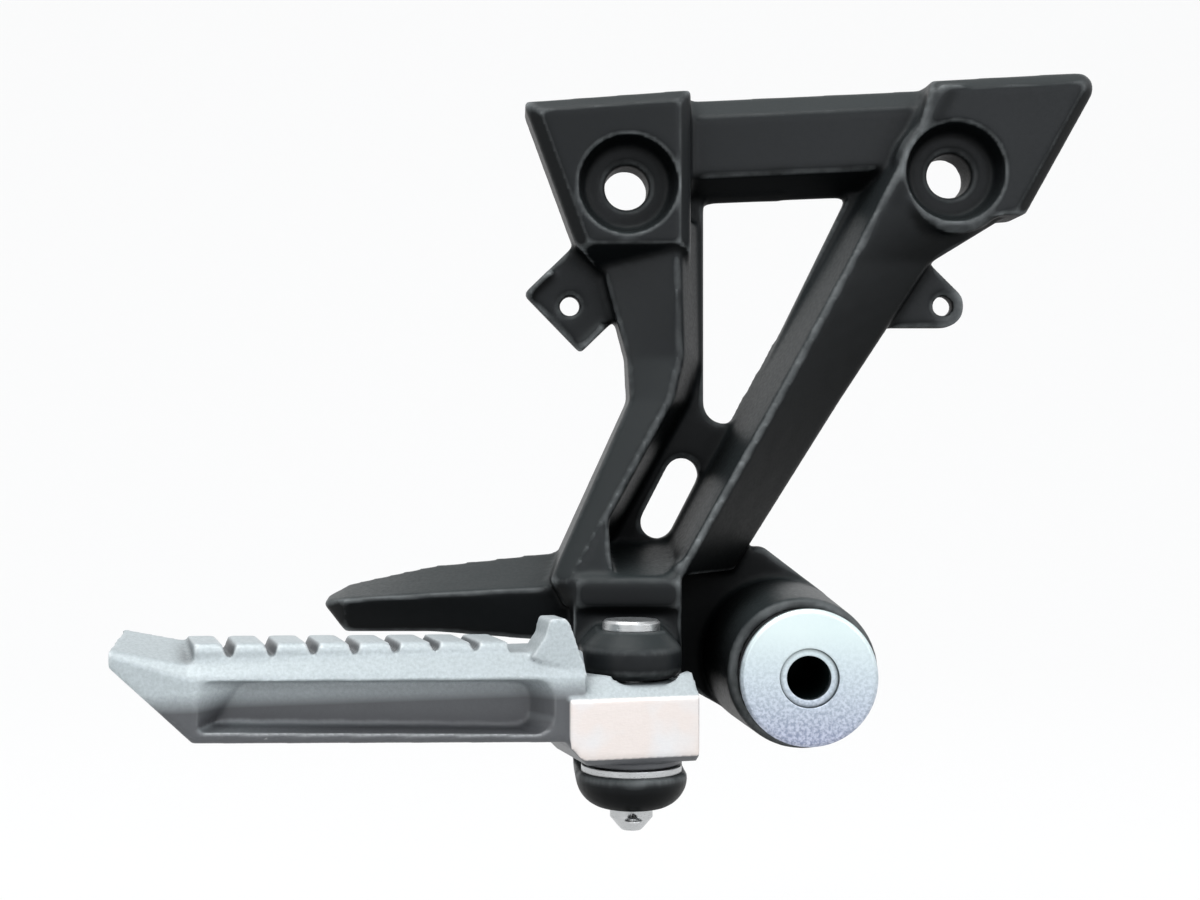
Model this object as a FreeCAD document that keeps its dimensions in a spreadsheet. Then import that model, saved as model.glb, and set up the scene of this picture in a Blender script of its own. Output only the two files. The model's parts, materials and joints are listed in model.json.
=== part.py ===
import FreeCAD, Part
import math
import os
import Sketcher

# Passenger footrest of a motorcycle: a cast hanger that bolts to the frame and carries a folding peg.
# +X is toward the front of the machine, +Z is up and -Y is outward, away from the machine.
# The origin lies halfway between the two frame bolts, on the face that meets the frame.

doc = FreeCAD.newDocument("passenger_footrest")
sheet = doc.addObject("Spreadsheet::Sheet", "Sizes")

# Driving sizes in millimetres and degrees
sizes = {
    # Frame bolts
    "bolt_span": 65.6,
    "bolt_rise": 2.4,
    "bolt_hole": 9.0,
    "seat_mouth": 20.0,
    "seat_floor": 17.4,
    "seat_deep": 5.0,
    "seat_bevel": 0.8,
    "boss_depth": 15.0,
    "boss_bevel": 2.4,
    "boss_corner": 1.6,
    # Rear boss, measured from its bolt
    "rear_boss_aft": 21.1,
    "rear_boss_fore": 12.8,
    "rear_boss_top_aft": 16.8,
    "rear_boss_top_fore": 19.3,
    "rear_boss_foot_aft": 10.5,
    "rear_boss_foot_drop": 12.0,
    "rear_boss_under_aft": 5.5,
    "rear_boss_under_drop": 5.0,
    "rear_boss_under_deep": 7.5,
    # Front boss, measured from its bolt
    "front_boss_aft": 4.4,
    "front_boss_fore": 30.7,
    "front_boss_top_aft": 18.7,
    "front_boss_top_fore": 20.6,
    "front_boss_low_fore": 14.6,
    "front_boss_low_drop": 8.4,
    "front_boss_radius": 12.3,
    "front_boss_round": 1.0,
    # Top bar
    "bar_aft": 25.0,
    "bar_fore": 30.0,
    "bar_top": 18.0,
    "bar_tilt": 0.047,
    "bar_bevel": 4.2,
    "bar_face": 12.1,
    "bar_depth": 10.0,
    "bar_underside": 4.4,
    # Web with its window and slot
    "web_depth": 4.0,
    "window_aft": 16.5,
    "window_fore": 13.6,
    "window_top": 2.8,
    "window_foot": 63.0,
    "window_tip_round": 4.2,
    "slot_x": -23.6,
    "slot_z": -64.5,
    "slot_length": 11.1,
    "slot_width": 6.8,
    "slot_lean": 27.3,
    # Rear strut
    "rear_strut_top": 8.0,
    "rear_strut_top_aft": 40.2,
    "rear_strut_top_ridge": 22.4,
    "rear_strut_top_depth": 13.6,
    "rear_strut_top_fall": 6.0,
    "rear_strut_knee": 36.0,
    "rear_strut_knee_aft": 32.9,
    "rear_strut_knee_ridge": 22.0,
    "rear_strut_knee_depth": 15.0,
    "rear_strut_waist": 44.5,
    "rear_strut_waist_aft": 32.5,
    "rear_strut_waist_ridge": 24.2,
    "rear_strut_waist_depth": 17.5,
    "rear_strut_wall": 4.6,
    "rear_strut_fall": 2.0,
    "rear_strut_foot_aft": 15.0,
    "rear_strut_foot_ridge": 10.5,
    "rear_strut_toe": 1.6,
    # Front strut
    "front_strut_top": 18.6,
    "front_strut_top_ridge": 29.9,
    "front_strut_top_outer": 56.5,
    "front_strut_skirt": 6.0,
    "front_strut_skirt_ridge": 17.0,
    "front_strut_skirt_outer": 46.2,
    "front_strut_neck": 16.5,
    "front_strut_neck_ridge": 11.4,
    "front_strut_neck_outer": 29.0,
    "front_strut_waist": 45.0,
    "front_strut_waist_ridge": -4.6,
    "front_strut_waist_outer": 10.3,
    "front_strut_waist_depth": 21.0,
    "front_strut_foot_ridge": 9.1,
    "front_strut_foot_outer": 22.7,
    "front_strut_land": 1.2,
    "front_strut_wall": 4.4,
    "front_strut_foot_wall": 2.4,
    "front_strut_edge": 10.0,
    "ridge_round": 0.8,
    "ridge_rise": 0.6,
    # Yoke that holds the peg
    "pin_x": -33.7,
    "pin_depth": 37.0,
    "yoke_half": 10.5,
    "yoke_top": 79.0,
    "yoke_ramp": 5.2,
    "yoke_back": 9.0,
    "yoke_corner": 6.0,
    "plateau_drop": 6.2,
    "recess_half": 9.0,
    "recess_round": 3.0,
    "recess_lip": 0.8,
    "land_rise": 11.2,
    "land_top_aft": 4.1,
    "land_top_fore": 3.6,
    "land_foot_aft": 9.0,
    "land_foot_fore": 2.8,
    "plateau_step": 1.0,
    "seat_drop": 114.6,
    "upper_ear_radius": 9.5,
    "upper_ear_height": 6.9,
    "upper_ear_bevel": 3.2,
    "nest_bevel": 1.5,
    "lower_ear_radius": 10.5,
    "lower_ear_height": 6.9,
    "lower_ear_round": 6.0,
    # Spike behind the peg
    "spike_tip": 60.0,
    "spike_tip_drop": 84.7,
    "spike_neck": 55.5,
    "spike_neck_top": 81.9,
    "spike_neck_ridge": 84.0,
    "spike_mid": 38.4,
    "spike_mid_top": 78.1,
    "spike_mid_ridge": 83.0,
    "spike_root": 8.0,
    "spike_root_top": 74.6,
    "spike_root_ridge": 81.4,
    "spike_foot": 90.6,
    "spike_root_foot": 93.0,
    "spike_back": 5.0,
    "spike_front": 20.0,
    # Lugs
    "lug_hole": 4.2,
    "lug_span": 76.5,
    "lug_shift": -6.0,
    "lug_drop": 25.0,
    "lug_back": 2.0,
    "lug_thick": 4.5,
    "rear_lug_width": 16.8,
    "rear_lug_reach": 5.1,
    "rear_lug_root": 10.0,
    "rear_lug_turn": 46.0,
    "lug_rib_width": 1.2,
    "lug_rib_length": 6.0,
    "lug_rib_height": 1.0,
    "front_lug_radius": 4.4,
    # Exhaust mount housing and its arm
    "bush_x": -1.4,
    "bush_drop": 96.6,
    "housing_mouth": 28.4,
    "housing_base": 31.6,
    "housing_depth": 37.0,
    "housing_rim_round": 0.8,
    "arm_depth": 6.0,
    "arm_top_x": -4.6,
    "arm_top_drop": 74.3,
    "arm_reach": 9.5,
    "arm_reach_drop": 12.6,
    # Bush in the housing
    "grommet_radius": 12.2,
    "grommet_back": 1.5,
    "grommet_lip_radius": 11.6,
    "grommet_waist": 1.2,
    "collar_bore": 8.2,
    "collar_wall": 1.4,
    "collar_inset": 0.7,
    "flange_radius": 12.7,
    "flange_thick": 1.6,
    "flange_front": 44.0,
    "flange_round": 0.6,
    # Hinge pin and split pin
    "pin_radius": 4.0,
    "run_fit": 0.05,
    "pin_head_radius": 5.4,
    "pin_head": 1.9,
    "pin_head_round": 0.5,
    "pin_tail": 4.1,
    "pin_nose": 2.4,
    "pin_nose_radius": 2.4,
    "split_radius": 0.8,
    "split_hole_fit": 0.1,
    "split_drop": 1.5,
    "split_eye": 1.3,
    "split_tail": 1.6,
    "split_gap": 0.04,
    "split_lap": 0.3,
    # Detent under the hinge block
    "plate_thick": 1.2,
    "plate_radius": 9.4,
    "plate_tail_half": 6.5,
    "plate_gap": 0.3,
    "detent_reach": 7.3,
    "detent_hole": 2.8,
    "ball_radius": 2.0,
    "ball_fit": 0.06,
    "ball_gap": 0.05,
    "spring_wire": 0.6,
    "spring_pitch": 1.9,
    "spring_length": 7.8,
    # Peg, measured from the hinge pin along the peg
    "rest_angle": 15.0,
    "stop_gap": 0.3,
    "swing_gap": 0.3,
    "run_gap": 0.1,
    "heel_radius": 9.5,
    "block_front": 11.6,
    "block_aft": 15.4,
    "block_height": 16.3,
    "block_pad": 1.5,
    "block_bevel": 4.0,
    "block_foot_bevel": 1.4,
    "block_aft_bevel": 3.6,
    "nest_radius": 10.0,
    "nest_deep": 2.0,
    "beam_front": 11.0,
    "beam_back": 8.6,
    "beam_hinge": 12.0,
    "beam_tip": 82.0,
    "beam_edge": 0.7,
    "deck_half_inset": 2.0,
    "deck_drop": 90.8,
    "band_hinge_drop": 95.3,
    "band_tip_drop": 93.7,
    "foot_hinge_drop": 107.5,
    "foot_tip_drop": 104.8,
    "tip_end": 94.0,
    "tip_end_turn": -12.0,
    "tip_end_top_back": 86.3,
    "tip_end_top_front": 88.3,
    "tip_end_foot": 91.6,
    "tip_root_top_back": 88.5,
    "tip_root_top_front": 91.4,
    "teeth_tip_top": 87.7,
    "teeth_hinge_top": 88.8,
    "teeth_tip": 81.7,
    "teeth_count": 8,
    "teeth_pitch": 7.24,
    "groove_width": 2.2,
    "groove_floor": 0.6,
    "teeth_bevel": 1.0,
    "fin_top_drop": 84.8,
    "fin_top_aft": 18.6,
    "fin_top_fore": 15.0,
    "fin_foot_aft": 22.4,
    "fin_foot_fore": 11.6,
    "fin_deep": 8.0,
    "fin_hollow": 0.8,
    "pocket_deep": 5.0,
    "pocket_rim": 0.5,
    "pocket_sill": 2.2,
    "pocket_hinge": 18.0,
    "pocket_hinge_slant": 3.8,
    "pocket_tip": 81.2,
    "pocket_tip_slant": 9.0,
    "pocket_foot_slant": 3.0,
    "pocket_draft": 0.6,
    "pocket_round": 2.6,
}

for row, (alias, value) in enumerate(sizes.items(), start=1):
    sheet.set("A%d" % row, alias)
    sheet.set("B%d" % row, str(value))
    sheet.setAlias("B%d" % row, alias)
doc.recompute()


def num(alias):
    return float(sheet.get(alias))


def bind(text):
    """Turns size names written in braces into references to the sheet."""
    return text.replace("{", "Sizes.").replace("}", "")


# Heights and depths that follow from the sizes, as expressions
REAR_X = "(-{bolt_span} / 2)"
REAR_Z = "(-{bolt_rise} / 2)"
FRONT_X = "({bolt_span} / 2)"
FRONT_Z = "({bolt_rise} / 2)"
WALL = "({pin_depth} - {heel_radius} - {stop_gap})"
SEAT = "(-{seat_drop})"
PLATE_TOP = "(-{seat_drop} + {plate_thick})"
PAD_LOW = "(-{seat_drop} + {plate_thick} + {run_gap})"
BLOCK_LOW = "(-{seat_drop} + {plate_thick} + {run_gap} + {block_pad})"
BLOCK_HIGH = "(-{seat_drop} + {plate_thick} + {run_gap} + {block_pad} + {block_height})"
EAR_LOW = "(-{seat_drop} + {plate_thick} + {run_gap} + {block_pad} + {block_height} + {swing_gap})"
EAR_TOP = EAR_LOW[:-1] + " + {upper_ear_height})"
EAR_DISC_LOW = EAR_LOW[:-1] + " - {nest_deep})"
FOOT = "(-{seat_drop} - {lower_ear_height})"


# Helpers for sketches and features
def new_body(name, x="0", y="0", z="0", turn=None):
    body = doc.addObject("PartDesign::Body", name)
    body.Label = name
    body.setExpression("Placement.Base.x", bind(x))
    body.setExpression("Placement.Base.y", bind(y))
    body.setExpression("Placement.Base.z", bind(z))
    if turn:
        body.Placement.Rotation = FreeCAD.Rotation(FreeCAD.Vector(0, 0, 1), 1)
        body.setExpression("Placement.Rotation.Angle", bind(turn))
    return body


def new_sketch(body, role, offset="0"):
    planes = [plane for plane in body.Origin.OriginFeatures if plane.Role == role]
    sketch = body.newObject("Sketcher::SketchObject", body.Name + "_sketch")
    sketch.AttachmentSupport = [(planes[0], "")]
    sketch.MapMode = "FlatFace"
    sketch.setExpression("AttachmentOffset.Base.z", bind(offset))
    return sketch


def hold(sketch, kind, place, expression):
    index = sketch.addConstraint(Sketcher.Constraint(kind, *place, 1.0))
    sketch.setExpression("Constraints[%d]" % index, bind(expression))


def polygon(sketch, corners):
    count = len(corners)
    first = sketch.GeometryCount
    ring = []
    for step in range(count):
        angle = 2 * math.pi * step / count
        ring.append(FreeCAD.Vector(math.cos(angle), math.sin(angle), 0))
    for step in range(count):
        sketch.addGeometry(Part.LineSegment(ring[step], ring[(step + 1) % count]), False)
    for step in range(count):
        after = first + (step + 1) % count
        sketch.addConstraint(Sketcher.Constraint("Coincident", first + step, 2, after, 1))
    for step, (across, up) in enumerate(corners):
        hold(sketch, "DistanceX", (first + step, 1), across)
        hold(sketch, "DistanceY", (first + step, 1), up)


def circle(sketch, across, up, radius):
    index = sketch.addGeometry(Part.Circle(FreeCAD.Vector(1, 1, 0), FreeCAD.Vector(0, 0, 1), 1), False)
    hold(sketch, "DistanceX", (index, 3), across)
    hold(sketch, "DistanceY", (index, 3), up)
    hold(sketch, "Radius", (index,), radius)


def tongue(sketch, radius, reach):
    """Half disc about the sketch's origin whose straight sides run to +Y."""
    size = num(radius)
    far = 2 * size
    sketch.addGeometry(Part.ArcOfCircle(Part.Circle(), math.pi, 2 * math.pi), False)
    sketch.addGeometry(Part.LineSegment(FreeCAD.Vector(size, 0, 0), FreeCAD.Vector(size, far, 0)), False)
    sketch.addGeometry(Part.LineSegment(FreeCAD.Vector(size, far, 0), FreeCAD.Vector(-size, far, 0)), False)
    sketch.addGeometry(Part.LineSegment(FreeCAD.Vector(-size, far, 0), FreeCAD.Vector(-size, 0, 0)), False)
    sketch.addConstraint(Sketcher.Constraint("Coincident", 0, 3, -1, 1))
    sketch.addConstraint(Sketcher.Constraint("Tangent", 0, 2, 1, 1))
    sketch.addConstraint(Sketcher.Constraint("Coincident", 1, 2, 2, 1))
    sketch.addConstraint(Sketcher.Constraint("Coincident", 2, 2, 3, 1))
    sketch.addConstraint(Sketcher.Constraint("Tangent", 3, 2, 0, 1))
    sketch.addConstraint(Sketcher.Constraint("Vertical", 1))
    sketch.addConstraint(Sketcher.Constraint("Horizontal", 2))
    sketch.addConstraint(Sketcher.Constraint("Vertical", 3))
    hold(sketch, "Radius", (0,), "{%s}" % radius)
    hold(sketch, "DistanceY", (1, 2), reach)


def grow(body, kind, sketch, length, midplane=False, back=False):
    feature = body.newObject("PartDesign::" + kind, body.Name + "_" + kind.lower())
    feature.Profile = sketch
    feature.Midplane = midplane
    feature.Reversed = back
    feature.setExpression("Length", bind(length))
    doc.recompute()
    return feature


def turn(body, kind, sketch, axis):
    feature = body.newObject("PartDesign::" + kind, body.Name + "_" + kind.lower())
    feature.Profile = sketch
    feature.ReferenceAxis = (sketch, [axis])
    feature.Angle = 360
    doc.recompute()
    return feature


def loft(body, sketches, kind="AdditiveLoft"):
    feature = body.newObject("PartDesign::" + kind, body.Name + "_loft")
    feature.Profile = sketches[0]
    feature.Sections = sketches[1:]
    feature.Ruled = True
    doc.recompute()
    return feature


def soften(body, kind, base, wanted, amount):
    """Rounds or bevels the edges of the base feature that pass the test."""
    names = ["Edge%d" % number for number, edge in enumerate(base.Shape.Edges, start=1) if wanted(edge)]
    feature = body.newObject("PartDesign::" + kind, body.Name + "_" + kind.lower())
    feature.Base = (base, names)
    feature.setExpression("Radius" if kind == "Fillet" else "Size", bind(amount))
    doc.recompute()
    return feature


def middle(edge):
    return edge.valueAt((edge.FirstParameter + edge.LastParameter) / 2)


def ends(edge):
    return [vertex.Point for vertex in edge.Vertexes]


def near(one, two):
    return abs(one - two) < 0.01


def fuse(name, shapes):
    joined = doc.addObject("Part::MultiFuse", name)
    joined.Shapes = shapes
    joined.Refine = True
    return joined


def cut(name, base, tool):
    result = doc.addObject("Part::Cut", name)
    result.Base = base
    result.Tool = tool
    result.Refine = True
    return result


# Rear bolt boss of the hanger
rear_boss = new_body("rear_boss", x=REAR_X, z=REAR_Z)
sketch = new_sketch(rear_boss, "XZ_Plane")
polygon(sketch, [
    ("-{rear_boss_aft}", "{rear_boss_top_aft}"),
    ("-{rear_boss_foot_aft}", "-{rear_boss_foot_drop}"),
    ("-{rear_boss_under_aft}", "-{rear_boss_foot_drop} - {rear_boss_under_drop}"),
    ("{rear_boss_fore}", "-{rear_boss_foot_drop} - {rear_boss_under_drop}"),
    ("{rear_boss_fore}", "{rear_boss_top_fore}"),
])
pad = grow(rear_boss, "Pad", sketch, "{boss_depth}")
rear_face = -num("boss_depth")
soften(rear_boss, "Chamfer", pad, lambda edge: near(ends(edge)[0].y, rear_face)
       and near(ends(edge)[1].y, rear_face)
       and middle(edge).z > -num("rear_boss_foot_drop") / 2, "{boss_bevel}")

# The boss's underside slants back to meet the strut
sketch = new_sketch(rear_boss, "YZ_Plane")
polygon(sketch, [
    ("-{boss_depth}", "-{rear_boss_foot_drop}"),
    ("-{boss_depth} - {boss_bevel}", "-{rear_boss_foot_drop}"),
    ("-{boss_depth} - {boss_bevel}", "-{rear_boss_foot_drop} - 2 * {rear_boss_under_drop}"),
    ("-{boss_depth} + {rear_boss_under_deep}", "-{rear_boss_foot_drop} - 2 * {rear_boss_under_drop}"),
    ("-{boss_depth} + {rear_boss_under_deep}", "-{rear_boss_foot_drop} - {rear_boss_under_drop}"),
])
grow(rear_boss, "Pocket", sketch, "4 * {rear_boss_aft}", midplane=True)

# Front bolt boss of the hanger
front_boss = new_body("front_boss", x=FRONT_X, z=FRONT_Z)
sketch = new_sketch(front_boss, "XZ_Plane")
polygon(sketch, [
    ("-{front_boss_aft}", "{front_boss_top_aft}"),
    ("-{front_boss_radius} * 0.8", "{front_boss_radius} * 0.15"),
    ("0", "-{front_boss_radius} * 0.75"),
    ("{front_boss_low_fore}", "-{front_boss_low_drop}"),
    ("{front_boss_fore}", "{front_boss_top_fore}"),
])
pad = grow(front_boss, "Pad", sketch, "{boss_depth}")
step = soften(front_boss, "Fillet", pad, lambda edge: near(ends(edge)[0].x, num("front_boss_fore"))
              and near(ends(edge)[1].x, num("front_boss_fore")), "{boss_corner} * 2")
step = soften(front_boss, "Chamfer", step, lambda edge: near(middle(edge).y, rear_face)
              and near(ends(edge)[0].y, ends(edge)[1].y)
              and middle(edge).z > num("front_boss_top_aft") - 1
              and edge.Curve.TypeId == "Part::GeomLine", "{boss_bevel}")
front_disc = new_body("front_disc", x=FRONT_X, z=FRONT_Z)
sketch = new_sketch(front_disc, "XZ_Plane")
circle(sketch, "0", "0", "{front_boss_radius}")
pad = grow(front_disc, "Pad", sketch, "{boss_depth}")
soften(front_disc, "Chamfer", pad, lambda edge: near(middle(edge).y, rear_face), "{front_boss_round}")

# Top bar between the bosses
top_bar = new_body("top_bar")
sections = []
for across in ("-{bar_aft}", "{bar_fore}"):
    sketch = new_sketch(top_bar, "YZ_Plane", across)
    top = "{bar_top} + {bar_tilt} * (%s)" % across
    polygon(sketch, [
        ("0", top),
        ("-{bar_depth} + {bar_bevel}", top),
        ("-{bar_depth}", top + " - {bar_bevel}"),
        ("-{bar_depth}", top + " - {bar_bevel} - {bar_face}"),
        ("-{web_depth} / 2", top + " - {bar_bevel} - {bar_face} - {bar_underside}"),
        ("0", top + " - {bar_bevel} - {bar_face} - {bar_underside}"),
    ])
    sections.append(sketch)
loft(top_bar, sections)

# Web between the struts, with its triangular window
web = new_body("web")
sketch = new_sketch(web, "XZ_Plane")
polygon(sketch, [
    ("-{rear_strut_knee_aft} + 4", "-2"),
    ("{front_strut_skirt_outer} / 2", "-2"),
    ("{front_strut_neck_outer} - 6", "-{front_strut_neck}"),
    ("{front_strut_waist_outer} - 5", "-{front_strut_waist}"),
    ("{pin_x} + {front_strut_foot_outer} - 5", "-{yoke_top}"),
    ("{pin_x} - {rear_strut_foot_ridge} + 1", "-{yoke_top} - 2"),
    ("-{rear_strut_waist_aft} + 3", "-{rear_strut_waist}"),
])
pad = grow(web, "Pad", sketch, "{web_depth}")
sketch = new_sketch(web, "XZ_Plane")
polygon(sketch, [
    ("-{window_aft}", "-{window_top}"),
    ("{window_fore}", "-{window_top} + {bar_tilt} * ({window_aft} + {window_fore})"),
    ("-{window_aft}", "-{window_foot}"),
])
window = grow(web, "Pocket", sketch, "{web_depth} * 2", midplane=True)
step = soften(web, "Fillet", window, lambda edge: near(ends(edge)[0].z, -num("window_foot"))
              and near(ends(edge)[1].z, -num("window_foot")), "{window_tip_round}")
sketch = new_sketch(web, "XZ_Plane")
lean_x = "{slot_length} / 2 * sin({slot_lean})"
lean_z = "{slot_length} / 2 * cos({slot_lean})"
wide_x = "{slot_width} / 2 * cos({slot_lean})"
wide_z = "{slot_width} / 2 * sin({slot_lean})"
corners = []
for along, aside in ((1, 1), (1, -1), (-1, -1), (-1, 1)):
    corners.append((
        "{slot_x} + %d * (%s) + %d * (%s)" % (along, lean_x, aside, wide_x),
        "{slot_z} + %d * (%s) - %d * (%s)" % (along, lean_z, aside, wide_z),
    ))
polygon(sketch, corners)
grow(web, "Pocket", sketch, "{web_depth} * 2", midplane=True)
for along in (1, -1):
    sketch = new_sketch(web, "XZ_Plane")
    circle(sketch, "{slot_x} + %d * (%s)" % (along, lean_x), "{slot_z} + %d * (%s)" % (along, lean_z),
           "{slot_width} / 2")
    grow(web, "Pocket", sketch, "{web_depth} * 2", midplane=True)

# Rear strut, lofted through level sections
rear_strut = new_body("rear_strut")
sections = []
for level, aft, ridge, depth, fall in (
    ("-{rear_strut_top}", "-{rear_strut_top_aft}", "-{rear_strut_top_ridge}",
     "{rear_strut_top_depth}", "{rear_strut_top_fall}"),
    ("-{rear_strut_knee}", "-{rear_strut_knee_aft}", "-{rear_strut_knee_ridge}",
     "{rear_strut_knee_depth}", "{rear_strut_fall}"),
    ("-{rear_strut_waist}", "-{rear_strut_waist_aft}", "-{rear_strut_waist_ridge}",
     "{rear_strut_waist_depth}", "{rear_strut_fall}"),
    ("-{yoke_top} - 1", "{pin_x} - {rear_strut_foot_aft}", "{pin_x} - {rear_strut_foot_ridge}",
     WALL, "{rear_strut_fall}"),
    ("-{yoke_top} - {plateau_drop}", "{pin_x} - {yoke_half} - {rear_strut_toe}",
     "{pin_x} - {yoke_half} + {ridge_round}", WALL + " - {recess_lip}", "{rear_strut_fall}"),
):
    sketch = new_sketch(rear_strut, "XY_Plane", level)
    polygon(sketch, [
        (aft, "0"),
        (aft, "-(%s) + %s + {ridge_round}" % (depth, fall)),
        (aft + " + {ridge_round}", "-(%s) + %s" % (depth, fall)),
        (ridge + " - {ridge_round}", "-(%s)" % depth),
        (ridge + " + {ridge_round} * 0.4", "-(%s) + {ridge_round}" % depth),
        (ridge + " + {rear_strut_wall}", "-{web_depth}"),
        (ridge + " + {rear_strut_wall}", "0"),
    ])
    sections.append(sketch)
loft(rear_strut, sections)

# Front strut, lofted through level sections
front_strut = new_body("front_strut")
sections = []
for level, ridge, outer, depth, wall in (
    ("{front_strut_top}", "{front_strut_top_ridge}", "{front_strut_top_outer}",
     "{boss_depth} + {ridge_rise}", "{front_strut_wall}"),
    ("-{front_strut_skirt}", "{front_strut_skirt_ridge}", "{front_strut_skirt_outer}",
     "{boss_depth} + {ridge_rise}", "{front_strut_wall}"),
    ("-{front_strut_neck}", "{front_strut_neck_ridge}", "{front_strut_neck_outer}",
     "{boss_depth} + 2.5 * {ridge_rise}", "{front_strut_wall}"),
    ("-{front_strut_waist}", "{front_strut_waist_ridge}", "{front_strut_waist_outer}",
     "{front_strut_waist_depth}", "{front_strut_wall}"),
    ("-{yoke_top}", "{pin_x} + {front_strut_foot_ridge}", "{pin_x} + {front_strut_foot_outer}",
     WALL, "{front_strut_foot_wall}"),
):
    sketch = new_sketch(front_strut, "XY_Plane", level)
    polygon(sketch, [
        (ridge + " - " + wall, "0"),
        (ridge, "-(%s)" % depth),
        (ridge + " + {front_strut_land}", "-(%s)" % depth),
        (outer + " - {ridge_round}", "-{front_strut_edge} - {ridge_round} * 0.4"),
        (outer, "-{front_strut_edge} + {ridge_round}"),
        (outer, "0"),
    ])
    sections.append(sketch)
loft(front_strut, sections)

# Yoke wall and the raised plateau above the upper ear
yoke = new_body("yoke", x="{pin_x}")
sketch = new_sketch(yoke, "YZ_Plane")
polygon(sketch, [
    ("-{yoke_back}", FOOT),
    ("-" + WALL, FOOT),
    ("-" + WALL, "-{yoke_top}"),
    ("-{web_depth}", "-{yoke_top} + {yoke_ramp}"),
    ("-{web_depth} + 2", "-{yoke_top} - {plateau_drop}"),
])
grow(yoke, "Pad", sketch, "2 * {yoke_half}", midplane=True)
sketch = new_sketch(yoke, "YZ_Plane")
polygon(sketch, [
    ("-{web_depth}", "-{yoke_top} - {plateau_drop}"),
    ("-" + WALL + " - {plateau_step}", "-{yoke_top} - {plateau_drop}"),
    ("-" + WALL + " - {plateau_step}", "-{yoke_top} - {plateau_step}"),
    ("-" + WALL, "-{yoke_top}"),
    ("-{web_depth}", "-{yoke_top}"),
])
plateau = grow(yoke, "Pad", sketch, "2 * {yoke_half} - 1", midplane=True)
yoke_low = plateau.Shape.BoundBox.ZMin
soften(yoke, "Chamfer", plateau, lambda edge: near(middle(edge).z, yoke_low)
       and near(ends(edge)[0].x, ends(edge)[1].x), "{yoke_corner}")

# Rounded fore corner of the recess between the struts
recess = new_body("recess", x="{pin_x}", z="-{yoke_top}")
sketch = new_sketch(recess, "XZ_Plane", "{web_depth} / 2")
polygon(sketch, [
    ("0", "-{plateau_drop}"),
    ("{recess_half}", "-{plateau_drop}"),
    ("{recess_half} + {recess_round} * 0.4", "{recess_round}"),
    ("{recess_half} - {recess_round} * 0.3", "{recess_round} * 0.3"),
    ("{recess_half} - {recess_round}", "-{recess_lip} / 2"),
    ("0", "-{recess_lip}"),
])
grow(recess, "Pad", sketch, WALL + " - {web_depth} / 2 - {recess_lip}")

# Land that widens beside the rear strut's foot
land = new_body("land", x="{pin_x}", z="-{yoke_top}")
LAND_FALL = "((%s - {rear_strut_waist_depth}) * {land_rise} / ({yoke_top} - {rear_strut_waist}))" % WALL
outlines = []
for level, aft, fore, depth in (
    ("{land_rise}", "-{land_top_aft}", "-{land_top_fore}", WALL + " - {recess_lip} - " + LAND_FALL),
    ("0", "-{land_foot_aft}", "-{land_foot_fore}", WALL + " - {recess_lip}"),
    ("-{plateau_drop}", "-{land_foot_aft}", "-{land_foot_fore}", WALL + " - {recess_lip}"),
):
    outline = new_sketch(land, "XY_Plane", level)
    polygon(outline, [
        (aft, "-{web_depth} / 2"),
        (aft, "-(%s)" % depth),
        (fore, "-(%s)" % depth),
        (fore, "-{web_depth} / 2"),
    ])
    outlines.append(outline)
loft(land, outlines)

# Upper ear with the round spigot that nests in the peg's block
upper_ear = new_body("upper_ear", x="{pin_x}", y="-{pin_depth}")
sketch = new_sketch(upper_ear, "XY_Plane", EAR_LOW)
tongue(sketch, "upper_ear_radius", "{heel_radius} + {stop_gap} + 2")
pad = grow(upper_ear, "Pad", sketch, "{upper_ear_height}")
ear_top = max(vertex.Point.z for vertex in pad.Shape.Vertexes)
soften(upper_ear, "Chamfer", pad, lambda edge: near(middle(edge).z, ear_top)
       and middle(edge).y < num("heel_radius") + num("stop_gap") + 1, "{upper_ear_bevel}")
spigot = new_body("spigot", x="{pin_x}", y="-{pin_depth}")
sketch = new_sketch(spigot, "XY_Plane", EAR_DISC_LOW)
circle(sketch, "0", "0", "{upper_ear_radius}")
pad = grow(spigot, "Pad", sketch, "{nest_deep} + 0.5")
soften(spigot, "Chamfer", pad, lambda edge: near(middle(edge).z, pad.Shape.BoundBox.ZMin), "{nest_bevel}")

# Lower ear
lower_ear = new_body("lower_ear", x="{pin_x}", y="-{pin_depth}")
sketch = new_sketch(lower_ear, "XY_Plane", SEAT)
tongue(sketch, "lower_ear_radius", "{heel_radius} + {stop_gap} + 3")
pad = grow(lower_ear, "Pad", sketch, "{lower_ear_height}", back=True)
ear_foot = pad.Shape.BoundBox.ZMin
soften(lower_ear, "Fillet", pad, lambda edge: near(middle(edge).z, ear_foot)
       and middle(edge).y < num("heel_radius") + num("stop_gap") + 2, "{lower_ear_round}")

# Spike that stands behind the folded peg
spike = new_body("spike", x="{pin_x}")
sections = []
for across, top, ridge, foot, back, front in (
    ("-{spike_tip}", "-{spike_tip_drop} + 0.4", "-{spike_tip_drop}", "-{spike_tip_drop} - 0.8",
     "{spike_back} + 3", "{spike_front} - 3"),
    ("-{spike_neck}", "-{spike_neck_top}", "-{spike_neck_ridge}", "-{spike_foot}",
     "{spike_back}", "{spike_front}"),
    ("-{spike_mid}", "-{spike_mid_top}", "-{spike_mid_ridge}", "-{spike_foot}",
     "{spike_back}", "{spike_front}"),
    ("-{spike_root}", "-{spike_root_top}", "-{spike_root_ridge}", "-{spike_root_foot}",
     "{spike_back}", "{spike_front}"),
):
    sketch = new_sketch(spike, "YZ_Plane", across)
    polygon(sketch, [
        ("-(%s)" % back, top),
        ("-(%s)" % front, ridge),
        ("-(%s) + 2" % front, foot),
        ("-(%s)" % back, foot),
    ])
    sections.append(sketch)
loft(spike, sections)

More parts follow.
